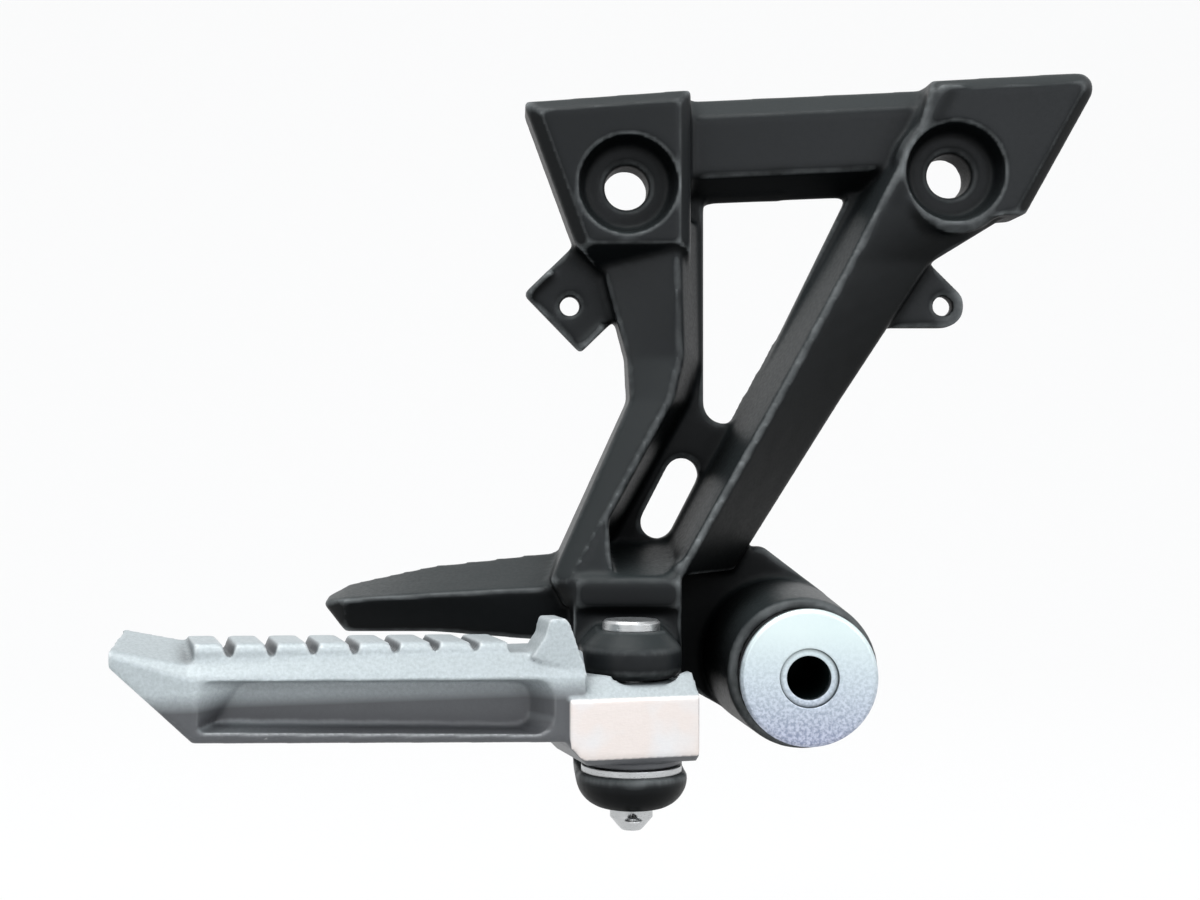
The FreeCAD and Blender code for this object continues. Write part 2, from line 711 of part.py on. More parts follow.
# Rear lug, a square tab with two locating ribs
LUG_X = "({lug_shift} - {lug_span} / 2)"
rear_lug = new_body("rear_lug", x=LUG_X, z="-{lug_drop}")
cos_turn = "cos({rear_lug_turn})"
sin_turn = "sin({rear_lug_turn})"


def lug_corner(out, aside):
    across = "-(%s) * %s + (%s) * %s" % (out, sin_turn, aside, cos_turn)
    up = "-(%s) * %s - (%s) * %s" % (out, cos_turn, aside, sin_turn)
    return (across, up)


half = "{rear_lug_width} / 2"
sketch = new_sketch(rear_lug, "XZ_Plane", "{lug_back}")
polygon(sketch, [
    lug_corner("{rear_lug_reach}", "-" + half),
    lug_corner("-{rear_lug_root}", "-" + half),
    lug_corner("-{rear_lug_root}", half),
    lug_corner("{rear_lug_reach}", half),
])
grow(rear_lug, "Pad", sketch, "{lug_thick}")
for side in ("1", "-1"):
    edge_in = "%s * ({rear_lug_width} / 2 - {lug_rib_width})" % side
    edge_out = "%s * {rear_lug_width} / 2" % side
    sketch = new_sketch(rear_lug, "XZ_Plane", "{lug_back} + {lug_thick}")
    polygon(sketch, [
        lug_corner("{rear_lug_reach} - 1", edge_in),
        lug_corner("{rear_lug_reach} - 1 - {lug_rib_length}", edge_in),
        lug_corner("{rear_lug_reach} - 1 - {lug_rib_length}", edge_out),
        lug_corner("{rear_lug_reach} - 1", edge_out),
    ])
    grow(rear_lug, "Pad", sketch, "{lug_rib_height}")

# Front lug, a round-ended tab
front_lug = new_body("front_lug", x="({lug_shift} + {lug_span} / 2)", z="-{lug_drop}")
sketch = new_sketch(front_lug, "XZ_Plane", "{lug_back}")
polygon(sketch, [
    ("0", "-{front_lug_radius}"),
    ("{front_lug_radius} * 0.8", "{front_lug_radius} * 0.6"),
    ("-{front_lug_radius} * 0.6", "{front_lug_radius} * 2"),
    ("-{front_lug_radius} * 4", "{front_lug_radius} * 1.6"),
    ("-{front_lug_radius} * 4", "-{front_lug_radius}"),
])
grow(front_lug, "Pad", sketch, "{lug_thick}")
sketch = new_sketch(front_lug, "XZ_Plane", "{lug_back}")
circle(sketch, "0", "0", "{front_lug_radius}")
grow(front_lug, "Pad", sketch, "{lug_thick}")

# Arm and housing for the exhaust mount
arm = new_body("arm")
sketch = new_sketch(arm, "XZ_Plane")
polygon(sketch, [
    ("{pin_x} + {yoke_half} - 2", "-{yoke_top} + 2"),
    ("{arm_top_x}", "-{arm_top_drop}"),
    ("{bush_x} + {arm_reach}", "-{bush_drop} + {arm_reach_drop}"),
    ("{bush_x}", "-{bush_drop}"),
    ("{bush_x} - {housing_base} / 2 * 0.72", "-{bush_drop} - {housing_base} / 2 * 0.68"),
    ("{pin_x} + {yoke_half} - 2", "-{bush_drop} - 4"),
])
grow(arm, "Pad", sketch, "{arm_depth}")
housing = new_body("housing", x="{bush_x}", z="-{bush_drop}")
sketch = new_sketch(housing, "XY_Plane")
polygon(sketch, [
    ("0", "0"),
    ("{housing_base} / 2", "0"),
    ("{housing_base} / 2", "-{arm_depth} / 2"),
    ("{housing_mouth} / 2", "-{housing_depth} + {housing_rim_round}"),
    ("{housing_mouth} / 2 - {housing_rim_round}", "-{housing_depth}"),
    ("0", "-{housing_depth}"),
])
turn(housing, "Revolution", sketch, "V_Axis")

# Holes in the hanger
cutters = []
for name, across, up in (("rear_bolt_cut", REAR_X, REAR_Z), ("front_bolt_cut", FRONT_X, FRONT_Z)):
    bolt_cut = new_body(name, x=across, z=up)
    sketch = new_sketch(bolt_cut, "XY_Plane")
    polygon(sketch, [
        ("0", "1"),
        ("{bolt_hole} / 2", "1"),
        ("{bolt_hole} / 2", "-{boss_depth} + {seat_deep} + {seat_bevel}"),
        ("{bolt_hole} / 2 + {seat_bevel}", "-{boss_depth} + {seat_deep}"),
        ("{seat_floor} / 2", "-{boss_depth} + {seat_deep}"),
        ("{seat_mouth} / 2", "-{boss_depth}"),
        ("{seat_mouth} / 2", "-{boss_depth} - 4"),
        ("0", "-{boss_depth} - 4"),
    ])
    turn(bolt_cut, "Revolution", sketch, "V_Axis")
    cutters.append(bolt_cut)
pin_cut = new_body("pin_cut", x="{pin_x}", y="-{pin_depth}")
sketch = new_sketch(pin_cut, "XY_Plane", FOOT + " - 1")
circle(sketch, "0", "0", "{pin_radius} + {run_fit}")
grow(pin_cut, "Pad", sketch, EAR_TOP + " - " + FOOT + " + 2")
cutters.append(pin_cut)
bush_cut = new_body("bush_cut", x="{bush_x}", z="-{bush_drop}")
sketch = new_sketch(bush_cut, "XZ_Plane", "-1")
circle(sketch, "0", "0", "{grommet_radius}")
grow(bush_cut, "Pad", sketch, "{housing_depth} + 2")
cutters.append(bush_cut)
for name, across in (("rear_lug_cut", LUG_X), ("front_lug_cut", "({lug_shift} + {lug_span} / 2)")):
    lug_cut = new_body(name, x=across, z="-{lug_drop}")
    sketch = new_sketch(lug_cut, "XZ_Plane")
    circle(sketch, "0", "0", "{lug_hole} / 2")
    grow(lug_cut, "Pad", sketch, "{lug_back} + {lug_thick} + 2")
    cutters.append(lug_cut)

casting = fuse("casting", [front_strut, front_boss, front_disc, front_lug, web, top_bar, arm, housing, yoke,
                           recess, land, rear_strut, rear_boss, rear_lug, spike, upper_ear, spigot,
                           lower_ear])
holes = fuse("holes", cutters)
hanger_bracket = cut("hanger_bracket", casting, holes)
doc.recompute()

# Peg, drawn about the hinge pin and turned to its rest angle
peg_place = {"x": "{pin_x}", "y": "-{pin_depth}", "turn": "{rest_angle}"}

# Beam of the peg
beam = new_body("beam", **peg_place)
sections = []
for along, band, foot in (
    ("-{beam_hinge}", "-{band_hinge_drop}", "-{foot_hinge_drop}"),
    ("-{beam_tip}", "-{band_tip_drop}", "-{foot_tip_drop}"),
):
    sketch = new_sketch(beam, "YZ_Plane", along)
    polygon(sketch, [
        ("{beam_back} - {deck_half_inset}", "-{deck_drop}"),
        ("-{beam_front} + {deck_half_inset}", "-{deck_drop}"),
        ("-{beam_front}", band),
        ("-{beam_front}", foot + " + {beam_edge}"),
        ("-{beam_front} + {beam_edge}", foot),
        ("{beam_back} - {beam_edge}", foot),
        ("{beam_back}", foot + " + {beam_edge}"),
        ("{beam_back}", band),
    ])
    sections.append(sketch)
loft(beam, sections)

# Upturned tip of the peg
tip = new_body("tip", **peg_place)
root = new_sketch(tip, "YZ_Plane", "-{beam_tip}")
polygon(root, [
    ("{beam_back} - {deck_half_inset}", "-{tip_root_top_back}"),
    ("-{beam_front} + {deck_half_inset}", "-{tip_root_top_front}"),
    ("-{beam_front}", "-{band_tip_drop}"),
    ("-{beam_front}", "-{foot_tip_drop} + {beam_edge}"),
    ("-{beam_front} + {beam_edge}", "-{foot_tip_drop}"),
    ("{beam_back} - {beam_edge}", "-{foot_tip_drop}"),
    ("{beam_back}", "-{foot_tip_drop} + {beam_edge}"),
    ("{beam_back}", "-{band_tip_drop}"),
])
end = new_sketch(tip, "YZ_Plane", "-{tip_end}")
end.AttachmentOffset.Rotation = FreeCAD.Rotation(FreeCAD.Vector(0, 1, 0), 1)
end.setExpression("AttachmentOffset.Rotation.Angle", bind("{tip_end_turn}"))
polygon(end, [
    ("{beam_back} - {deck_half_inset}", "-{tip_end_top_back}"),
    ("-{beam_front} + {deck_half_inset}", "-{tip_end_top_front}"),
    ("-{beam_front} + 1", "-{tip_end_top_front} - 0.8"),
    ("-{beam_front} + 1", "-{tip_end_foot} + {beam_edge}"),
    ("-{beam_front} + 1 + {beam_edge}", "-{tip_end_foot}"),
    ("{beam_back} - 1 - {beam_edge}", "-{tip_end_foot}"),
    ("{beam_back} - 1", "-{tip_end_foot} + {beam_edge}"),
    ("{beam_back} - 1", "-{tip_end_top_back} - 0.8"),
])
loft(tip, [root, end])

# Tread: a raised slab cut into teeth
tread = new_body("tread", **peg_place)
TEETH_HINGE = "({teeth_tip} - {teeth_pitch} * {teeth_count} + {groove_width})"
sections = []
for along, top in (("-{teeth_tip}", "-{teeth_tip_top}"), ("-" + TEETH_HINGE, "-{teeth_hinge_top}")):
    sketch = new_sketch(tread, "YZ_Plane", along)
    polygon(sketch, [
        ("{beam_back} - {deck_half_inset}", "-{deck_drop} - 0.4"),
        ("{beam_back} - {deck_half_inset}", top + " - {teeth_bevel}"),
        ("{beam_back} - {deck_half_inset} - {teeth_bevel}", top),
        ("-{beam_front} + {deck_half_inset} + {teeth_bevel}", top),
        ("-{beam_front} + {deck_half_inset}", top + " - {teeth_bevel}"),
        ("-{beam_front} + {deck_half_inset}", "-{deck_drop} - 0.4"),
    ])
    sections.append(sketch)
loft(tread, sections)
groove_x = "(-{teeth_tip} + {teeth_pitch} - {groove_width} / 2)"
sketch = new_sketch(tread, "XZ_Plane")
polygon(sketch, [
    (groove_x + " - {groove_width} * 0.6", "-{teeth_tip_top} + 0.5"),
    (groove_x + " - {groove_floor} / 2", "-{deck_drop} + 0.3"),
    (groove_x + " + {groove_floor} / 2", "-{deck_drop} + 0.3"),
    (groove_x + " + {groove_width} * 0.6", "-{teeth_tip_top} + 0.5"),
])
groove = grow(tread, "Pocket", sketch, "4 * {beam_front}", midplane=True)
row = tread.newObject("PartDesign::LinearPattern", "tread_row")
row.Originals = [groove]
row.Direction = (sketch, ["H_Axis"])
row.setExpression("Length", bind("{teeth_pitch} * ({teeth_count} - 2)"))
row.setExpression("Occurrences", bind("{teeth_count} - 1"))
tread.Tip = row
doc.recompute()

# Fin that keeps the foot off the hanger
fin = new_body("fin", **peg_place)
sketch = new_sketch(fin, "XZ_Plane", "{beam_front} - 0.4 - {fin_deep}")
polygon(sketch, [
    ("-{fin_foot_aft}", "-{deck_drop} - 1"),
    ("-{fin_foot_fore}", "-{band_hinge_drop}"),
    ("-{fin_top_fore} + {fin_hollow}", "(-{fin_top_drop} - {deck_drop}) / 2"),
    ("-{fin_top_fore}", "-{fin_top_drop} - {fin_hollow}"),
    ("-{fin_top_fore} - {fin_hollow}", "-{fin_top_drop}"),
    ("-{fin_top_aft}", "-{fin_top_drop}"),
    ("-{fin_top_aft} - {fin_hollow} * 0.6", "-{fin_top_drop} - {fin_hollow} * 0.6"),
    ("-{fin_top_aft} - {fin_hollow} * 1.4", "(-{fin_top_drop} - {deck_drop}) / 2"),
])
grow(fin, "Pad", sketch, "{fin_deep}")

# Hinge block with its round heel
block = new_body("block", **peg_place)
sketch = new_sketch(block, "XY_Plane", BLOCK_LOW)
polygon(sketch, [
    ("-{block_aft}", "-{block_front}"),
    ("{heel_radius}", "-{block_front}"),
    ("{heel_radius}", "0"),
    ("0", "0"),
    ("0", "{heel_radius}"),
    ("-{block_aft}", "{heel_radius}"),
])
pad = grow(block, "Pad", sketch, "{block_height}")
block_top = pad.Shape.BoundBox.ZMax
block_low = pad.Shape.BoundBox.ZMin
step = soften(block, "Chamfer", pad, lambda edge: near(middle(edge).z, block_top)
              and near(middle(edge).y, -num("block_front")), "{block_bevel}")
step = soften(block, "Chamfer", step, lambda edge: near(middle(edge).z, block_low)
              and near(middle(edge).y, -num("block_front")), "{block_foot_bevel}")
soften(block, "Chamfer", step, lambda edge: near(middle(edge).z, block_low)
       and near(middle(edge).x, -num("block_aft")), "{block_aft_bevel}")
heel = new_body("heel", **peg_place)
sketch = new_sketch(heel, "XY_Plane", PAD_LOW)
circle(sketch, "0", "0", "{heel_radius}")
grow(heel, "Pad", sketch, "{block_pad} + {block_height}")

# Holes and pockets in the peg
peg_cutters = []
bore = new_body("bore", **peg_place)
sketch = new_sketch(bore, "XY_Plane", SEAT)
circle(sketch, "0", "0", "{pin_radius} + {run_fit}")
grow(bore, "Pad", sketch, "{block_height} * 2")
peg_cutters.append(bore)
nest = new_body("nest", **peg_place)
sketch = new_sketch(nest, "XY_Plane", BLOCK_HIGH + " - {nest_deep}")
circle(sketch, "0", "0", "{nest_radius}")
grow(nest, "Pad", sketch, "{upper_ear_height} + {nest_deep}")
peg_cutters.append(nest)
SPRING_TOP = PLATE_TOP + " + {ball_gap} + 2 * {ball_radius} + {spring_length}"
ball_bore = new_body("ball_bore", **peg_place)
sketch = new_sketch(ball_bore, "XY_Plane", SEAT)
circle(sketch, "-{detent_reach}", "0", "{ball_radius} + {ball_fit}")
grow(ball_bore, "Pad", sketch, SPRING_TOP + " - " + SEAT)
peg_cutters.append(ball_bore)
for name, face, inward in (("front_pocket", "{beam_front}", "-1"), ("back_pocket", "-{beam_back}", "1")):
    pocket = new_body(name, **peg_place)
    outlines = []
    for deep, hinge, tip_high, tip_low, draft in (
        ("0", "(-{pocket_hinge})", "(-{pocket_tip})", "(-{pocket_tip})", "0"),
        ("{pocket_deep}", "(-{pocket_hinge} - {pocket_hinge_slant})", "(-{pocket_tip} + {pocket_tip_slant})",
         "(-{pocket_tip} + {pocket_foot_slant})", "{pocket_draft}"),
    ):
        outline = new_sketch(pocket, "XZ_Plane", "%s + %s * %s" % (face, inward, deep))
        high = "(-{band_hinge_drop} - {pocket_rim} - %s)" % draft
        low = "(-{foot_hinge_drop} + {pocket_sill} + %s)" % draft
        polygon(outline, [
            (tip_high, "-{band_tip_drop} - {pocket_rim} - %s" % draft),
            (tip_low, "-{foot_tip_drop} + {pocket_sill} + %s" % draft),
            (hinge + " - {pocket_round}", low),
            (hinge + " - {pocket_round} * 0.3", low + " + {pocket_round} * 0.3"),
            (hinge, low + " + {pocket_round}"),
            (hinge, high + " - {pocket_round}"),
            (hinge + " - {pocket_round} * 0.3", high + " - {pocket_round} * 0.3"),
            (hinge + " - {pocket_round}", high),
        ])
        outlines.append(outline)
    loft(pocket, outlines)
    peg_cutters.append(pocket)

peg_solid = fuse("peg_solid", [beam, tip, tread, fin, block, heel])
peg_holes = fuse("peg_holes", peg_cutters)
foot_peg = cut("foot_peg", peg_solid, peg_holes)
doc.recompute()

# Hinge pin
pivot_pin = new_body("pivot_pin", x="{pin_x}", y="-{pin_depth}")
sketch = new_sketch(pivot_pin, "XZ_Plane")
polygon(sketch, [
    ("0", FOOT + " - {pin_tail}"),
    ("{pin_nose_radius} - {pin_head_round}", FOOT + " - {pin_tail}"),
    ("{pin_nose_radius}", FOOT + " - {pin_tail} + {pin_head_round}"),
    ("{pin_radius}", FOOT + " - {pin_tail} + {pin_nose}"),
    ("{pin_radius}", EAR_TOP),
    ("{pin_head_radius}", EAR_TOP),
    ("{pin_head_radius}", EAR_TOP + " + {pin_head} - {pin_head_round}"),
    ("{pin_head_radius} - {pin_head_round}", EAR_TOP + " + {pin_head}"),
    ("0", EAR_TOP + " + {pin_head}"),
])
turn(pivot_pin, "Revolution", sketch, "V_Axis")
sketch = new_sketch(pivot_pin, "XZ_Plane")
circle(sketch, "0", FOOT + " - {split_drop}", "{split_radius} + {split_hole_fit}")
grow(pivot_pin, "Pocket", sketch, "4 * {pin_radius}", midplane=True)

# Split pin: a round wire doubled back on itself, its eye outward and its tails spread
SPLIT_Z = "(" + FOOT + " - {split_drop})"
EYE_OUT = "(-{pin_depth} - {pin_radius} - {split_lap} - {split_eye} - {split_radius} / 2)"
SPREAD_OUT = "(-{pin_depth} + {pin_radius} + {split_lap})"


def wire_outline(across, up, radius, sides):
    corners = []
    for step in range(sides):
        angle = 360 * (step + 0.5) / sides
        corner_across = "%s + %s * cos(%s)" % (across, radius, angle)
        corner_up = "%s + %s * sin(%s)" % (up, radius, angle)
        corners.append((corner_across, corner_up))
    return corners


def wire_length(name, across, out, direction, length):
    piece = doc.addObject("Part::Prism", name)
    piece.Polygon = 8
    piece.setExpression("Circumradius", bind("{split_radius} / 2"))
    piece.setExpression("Height", bind(length))
    piece.setExpression("Placement.Base.x", bind(across))
    piece.setExpression("Placement.Base.y", bind(out))
    piece.setExpression("Placement.Base.z", bind(SPLIT_Z))
    piece.Placement.Rotation = FreeCAD.Rotation(FreeCAD.Vector(0, 0, 1), direction)
    return piece


eye = new_body("split_ring", x="{pin_x}", y=EYE_OUT, z=SPLIT_Z)
sketch = new_sketch(eye, "XZ_Plane")
polygon(sketch, wire_outline("{split_eye}", "0", "{split_radius} / 2", 8))
turn(eye, "Revolution", sketch, "V_Axis")
wires = [eye]
for side in (1, -1):
    across = "{pin_x} + %d * ({split_radius} / 2 + {split_gap})" % side
    start = EYE_OUT + " + {split_eye} * 0.95"
    leg = wire_length("split_leg", across, start, FreeCAD.Vector(0, 1, 0), SPREAD_OUT + " - (" + start + ")")
    tail_start = SPREAD_OUT + " - {split_radius} * 0.3"
    tail = wire_length("split_end", across, tail_start, FreeCAD.Vector(side, 1, 0), "{split_tail}")
    wires.extend([leg, tail])
split_pin = fuse("split_pin", wires)
doc.recompute()

# Detent plate, keyed by its tail against the yoke wall
detent_plate = new_body("detent_plate", x="{pin_x}", y="-{pin_depth}")
sketch = new_sketch(detent_plate, "XY_Plane", SEAT)
circle(sketch, "0", "0", "{plate_radius}")
grow(detent_plate, "Pad", sketch, "{plate_thick}")
sketch = new_sketch(detent_plate, "XY_Plane", SEAT)
polygon(sketch, [
    ("-{plate_tail_half}", "0"),
    ("{plate_tail_half}", "0"),
    ("{plate_tail_half}", "{heel_radius} + {stop_gap} - {plate_gap}"),
    ("-{plate_tail_half}", "{heel_radius} + {stop_gap} - {plate_gap}"),
])
grow(detent_plate, "Pad", sketch, "{plate_thick}")
sketch = new_sketch(detent_plate, "XY_Plane", SEAT)
circle(sketch, "0", "0", "{pin_radius} + {run_fit}")
circle(sketch, "-{detent_reach}", "0", "{detent_hole} / 2")
circle(sketch, "0", "-{detent_reach}", "{detent_hole} / 2")
grow(detent_plate, "Pocket", sketch, "{plate_thick} * 3", midplane=True)

# Detent ball and spring in the block
detent_ball = new_body("detent_ball", **peg_place)
BALL_Z = PLATE_TOP + " + {ball_gap} + {ball_radius}"
ball = detent_ball.newObject("PartDesign::AdditiveSphere", "ball")
ball.setExpression("Radius", bind("{ball_radius}"))
ball.setExpression("AttachmentOffset.Base.x", bind("-{detent_reach}"))
ball.setExpression("AttachmentOffset.Base.z", bind(BALL_Z))
ball.AttachmentSupport = [(detent_ball.Origin.OriginFeatures[3], "")]
ball.MapMode = "FlatFace"
detent_spring = new_body(
    "detent_spring",
    x="{pin_x} - {detent_reach} * cos({rest_angle})",
    y="-{pin_depth} - {detent_reach} * sin({rest_angle})",
)
coil = "({ball_radius} - {spring_wire} / 2 - 0.1)"
sketch = new_sketch(detent_spring, "XZ_Plane")
polygon(sketch, wire_outline(coil, BALL_Z + " + {ball_radius}", "{spring_wire} / 2", 6))
helix = detent_spring.newObject("PartDesign::AdditiveHelix", "coil")
helix.Profile = sketch
helix.ReferenceAxis = (sketch, ["V_Axis"])
helix.Mode = 0
helix.setExpression("Pitch", bind("{spring_pitch}"))
helix.setExpression("Height", bind("{spring_length} - {spring_wire} / 2 - 0.05"))
doc.recompute()

# Rubber bush, sleeve and disc of the exhaust mount
mount_grommet = new_body("mount_grommet", x="{bush_x}", z="-{bush_drop}")
FLANGE_BACK = "({flange_front} - {flange_thick})"
COLLAR = "({collar_bore} / 2 + {collar_wall})"
sketch = new_sketch(mount_grommet, "XY_Plane")
polygon(sketch, [
    (COLLAR, "-{grommet_back}"),
    ("{grommet_radius}", "-{grommet_back}"),
    ("{grommet_radius}", "-{housing_depth}"),
    ("{grommet_lip_radius} - {grommet_waist}", "-{housing_depth}"),
    ("{grommet_lip_radius}", "-(%s + {housing_depth}) / 2" % FLANGE_BACK),
    ("{grommet_lip_radius}", "-" + FLANGE_BACK),
    (COLLAR, "-" + FLANGE_BACK),
])
turn(mount_grommet, "Revolution", sketch, "V_Axis")
mount_collar = new_body("mount_collar", x="{bush_x}", z="-{bush_drop}")
sketch = new_sketch(mount_collar, "XZ_Plane", "0")
circle(sketch, "0", "0", COLLAR)
circle(sketch, "0", "0", "{collar_bore} / 2")
grow(mount_collar, "Pad", sketch, "{flange_front} - {collar_inset}")
mount_flange = new_body("mount_flange", x="{bush_x}", z="-{bush_drop}")
sketch = new_sketch(mount_flange, "XY_Plane")
polygon(sketch, [
    (COLLAR, "-" + FLANGE_BACK),
    ("{flange_radius}", "-" + FLANGE_BACK),
    ("{flange_radius}", "-{flange_front} + {flange_round}"),
    ("{flange_radius} - {flange_round}", "-{flange_front}"),
    (COLLAR, "-{flange_front}"),
])
turn(mount_flange, "Revolution", sketch, "V_Axis")
doc.recompute()

# Every object must have rebuilt with nothing lost, then each piece is written under its label
for item in doc.Objects:
    if "Invalid" in item.State or "Error" in item.State:
        raise RuntimeError(item.Name + " did not rebuild")
for joined in (casting, peg_solid):
    for item in joined.Shapes:
        corners = [vertex.Point for vertex in item.Shape.Vertexes]
        if not all(joined.Shape.isInside(corner, 0.02, True) for corner in corners):
            raise RuntimeError(item.Label + " is missing from " + joined.Label)
pieces = [hanger_bracket, foot_peg, pivot_pin, split_pin, detent_plate, detent_ball, detent_spring,
          mount_grommet, mount_collar, mount_flange]
os.makedirs("parts", exist_ok=True)
for piece in pieces:
    shape = piece.Shape
    if shape.isNull() or not shape.isValid() or len(shape.Solids) != 1:
        raise RuntimeError(piece.Label + " is not one sound solid")
    shape.exportStep("parts/" + piece.Label + ".step")
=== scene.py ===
import json
import math

import bpy
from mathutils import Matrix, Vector


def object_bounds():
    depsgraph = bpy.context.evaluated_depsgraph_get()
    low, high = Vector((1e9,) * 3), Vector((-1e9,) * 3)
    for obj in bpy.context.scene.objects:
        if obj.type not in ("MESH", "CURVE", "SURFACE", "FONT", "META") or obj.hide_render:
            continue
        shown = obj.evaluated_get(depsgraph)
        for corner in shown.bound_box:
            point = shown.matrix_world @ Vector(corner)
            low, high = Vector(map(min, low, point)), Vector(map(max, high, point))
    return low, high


# Passenger footrest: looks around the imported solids, in metres
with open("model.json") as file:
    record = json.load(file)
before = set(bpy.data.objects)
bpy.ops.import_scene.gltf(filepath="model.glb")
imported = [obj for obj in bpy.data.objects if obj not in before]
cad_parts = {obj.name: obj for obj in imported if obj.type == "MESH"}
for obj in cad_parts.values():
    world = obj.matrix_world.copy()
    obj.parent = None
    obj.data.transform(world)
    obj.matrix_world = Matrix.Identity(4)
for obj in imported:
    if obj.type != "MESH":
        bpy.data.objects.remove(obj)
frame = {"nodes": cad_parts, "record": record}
cad_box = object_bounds()
scene = bpy.context.scene
scene.view_settings.view_transform = "Standard"

# Hinge of the peg, for materials that follow the peg's own length
hinge = frame["record"]["behaviour"]["joints"][0]
PIN_X, PIN_Y, PIN_Z = hinge["pos_m"]
REST_ANGLE = math.radians(-hinge["range_deg"][0])

# Heights over the hinge for the peg's painted top light: no light is painted below the first, faces that
# look up are lit from the second on and all faces from the third on
TOP_LIGHT_START = 0.0015
TOP_LIGHT_UPWARD = 0.0055
TOP_LIGHT_ALL = 0.009

# Places across the peg from its pin: milled past the outer one, as cast short of the inner one
MILLED_OUTER = -0.0114
MILLED_INNER = -0.0112

# Heights between which the zinc disc turns from violet to pale
VIOLET_HEIGHT = -0.108
PALE_HEIGHT = -0.088

# Voxel skins that round off the castings, and how far the peg's skin is drawn in
HANGER_GRID = 0.00068
PEG_GRID = 0.00042
SMOOTH_ROUNDS = 6
SMOOTH_FACTOR = 0.5
PEG_DRAW_IN = 0.00014

# Floor and backdrop
FLOOR_DROP = 0.05
FLOOR_FRONT = -1.6
SWEEP_START = 0.6
SWEEP_RADIUS = 0.6
SWEEP_STEPS = 12
BACKDROP_TOP = 3.0
FLOOR_HALF_WIDTH = 3.0
PAPER_SHARE = 0.9

# Camera
CAMERA_PLACE = (-0.0553, -0.365, -0.056)
SENSOR_WIDTH = 36.0
LENS = 52.5
SHIFT = (0.07, 0.006)
CLIP_START = 0.01

# Pointiness between which an outer edge starts to take a painted highlight and takes it fully
EDGE_START = 0.515
EDGE_FULL = 0.56

# Rays for rounded shading and for hollows
BEVEL_SAMPLES = 6
HOLLOW_SAMPLES = 8

# Sockets of the colour mix node, whose names repeat for other data types
MIX_FIRST = 6
MIX_SECOND = 7
MIX_RESULT = 2


# Helpers for node materials
def start(name):
    material = bpy.data.materials.new(name)
    material.use_nodes = True
    tree = material.node_tree
    shader = tree.nodes["Principled BSDF"]
    return material, tree, shader


def add(tree, kind, **settings):
    node = tree.nodes.new(kind)
    for key, value in settings.items():
        setattr(node, key, value)
    return node


def noise(tree, scale, detail=4.0, roughness=0.5, stretch=None):
    place = add(tree, "ShaderNodeTexCoord")
    pattern = add(tree, "ShaderNodeTexNoise")
    pattern.inputs["Scale"].default_value = scale
    pattern.inputs["Detail"].default_value = detail
    pattern.inputs["Roughness"].default_value = roughness
    if stretch:
        mapping = add(tree, "ShaderNodeMapping")
        mapping.inputs["Scale"].default_value = stretch
        tree.links.new(place.outputs["Object"], mapping.inputs["Vector"])
        tree.links.new(mapping.outputs["Vector"], pattern.inputs["Vector"])
    else:
        tree.links.new(place.outputs["Object"], pattern.inputs["Vector"])
    return pattern.outputs["Fac"]


def ramp(tree, source, low, high, start_value, end_value):
    node = add(tree, "ShaderNodeMapRange")
    node.inputs["From Min"].default_value = low
    node.inputs["From Max"].default_value = high
    node.inputs["To Min"].default_value = start_value
    node.inputs["To Max"].default_value = end_value
    tree.links.new(source, node.inputs["Value"])
    return node.outputs["Result"]


def math_node(tree, operation, first, second):
    node = add(tree, "ShaderNodeMath", operation=operation)
    for index, value in enumerate((first, second)):
        if isinstance(value, (int, float)):
            node.inputs[index].default_value = value
        else:
            tree.links.new(value, node.inputs[index])
    return node.outputs["Value"]


def mix(tree, factor, first, second):
    node = add(tree, "ShaderNodeMix", data_type="RGBA")
    tree.links.new(factor, node.inputs["Factor"])
    for socket, value in ((node.inputs[MIX_FIRST], first), (node.inputs[MIX_SECOND], second)):
        if isinstance(value, tuple):
            socket.default_value = (*value, 1.0)
        else:
            tree.links.new(value, socket)
    return node.outputs[MIX_RESULT]


def bump(tree, shader, height, strength, distance, round_edge):
    """Fine relief on top of edges that are rounded off by the given radius."""
    soft = add(tree, "ShaderNodeBevel", samples=BEVEL_SAMPLES)
    soft.inputs["Radius"].default_value = round_edge
    node = add(tree, "ShaderNodeBump")
    node.inputs["Strength"].default_value = strength
    node.inputs["Distance"].default_value = distance
    tree.links.new(height, node.inputs["Height"])
    tree.links.new(soft.outputs["Normal"], node.inputs["Normal"])
    tree.links.new(node.outputs["Normal"], shader.inputs["Normal"])


def edges(tree):
    """Zero on flat faces, rising to one along outer edges that are rounded off."""
    shape = add(tree, "ShaderNodeNewGeometry")
    return ramp(tree, shape.outputs["Pointiness"], EDGE_START, EDGE_FULL, 0.0, 1.0)


def hollows(tree, reach, alone=True):
    """One in the open, falling where faces close in, of the piece alone or of its neighbours too."""
    node = add(tree, "ShaderNodeAmbientOcclusion", samples=HOLLOW_SAMPLES, only_local=alone)
    node.inputs["Distance"].default_value = reach
    return node.outputs["AO"]


def upward(tree, low, high):
    """Zero where a face's normal rises less than low, one where it rises more than high."""
    shape = add(tree, "ShaderNodeNewGeometry")
    split = add(tree, "ShaderNodeSeparateXYZ")
    tree.links.new(shape.outputs["Normal"], split.inputs["Vector"])
    return ramp(tree, split.outputs["Z"], low, high, 0.0, 1.0)


def shows_background(tree):
    """One for rays from the camera and for mirrored or transmitted rays, else zero."""
    path = add(tree, "ShaderNodeLightPath")
    through = path.outputs["Is Transmission Ray"]
    mirrored = math_node(tree, "MAXIMUM", path.outputs["Is Glossy Ray"], through)
    return math_node(tree, "MAXIMUM", path.outputs["Is Camera Ray"], mirrored)
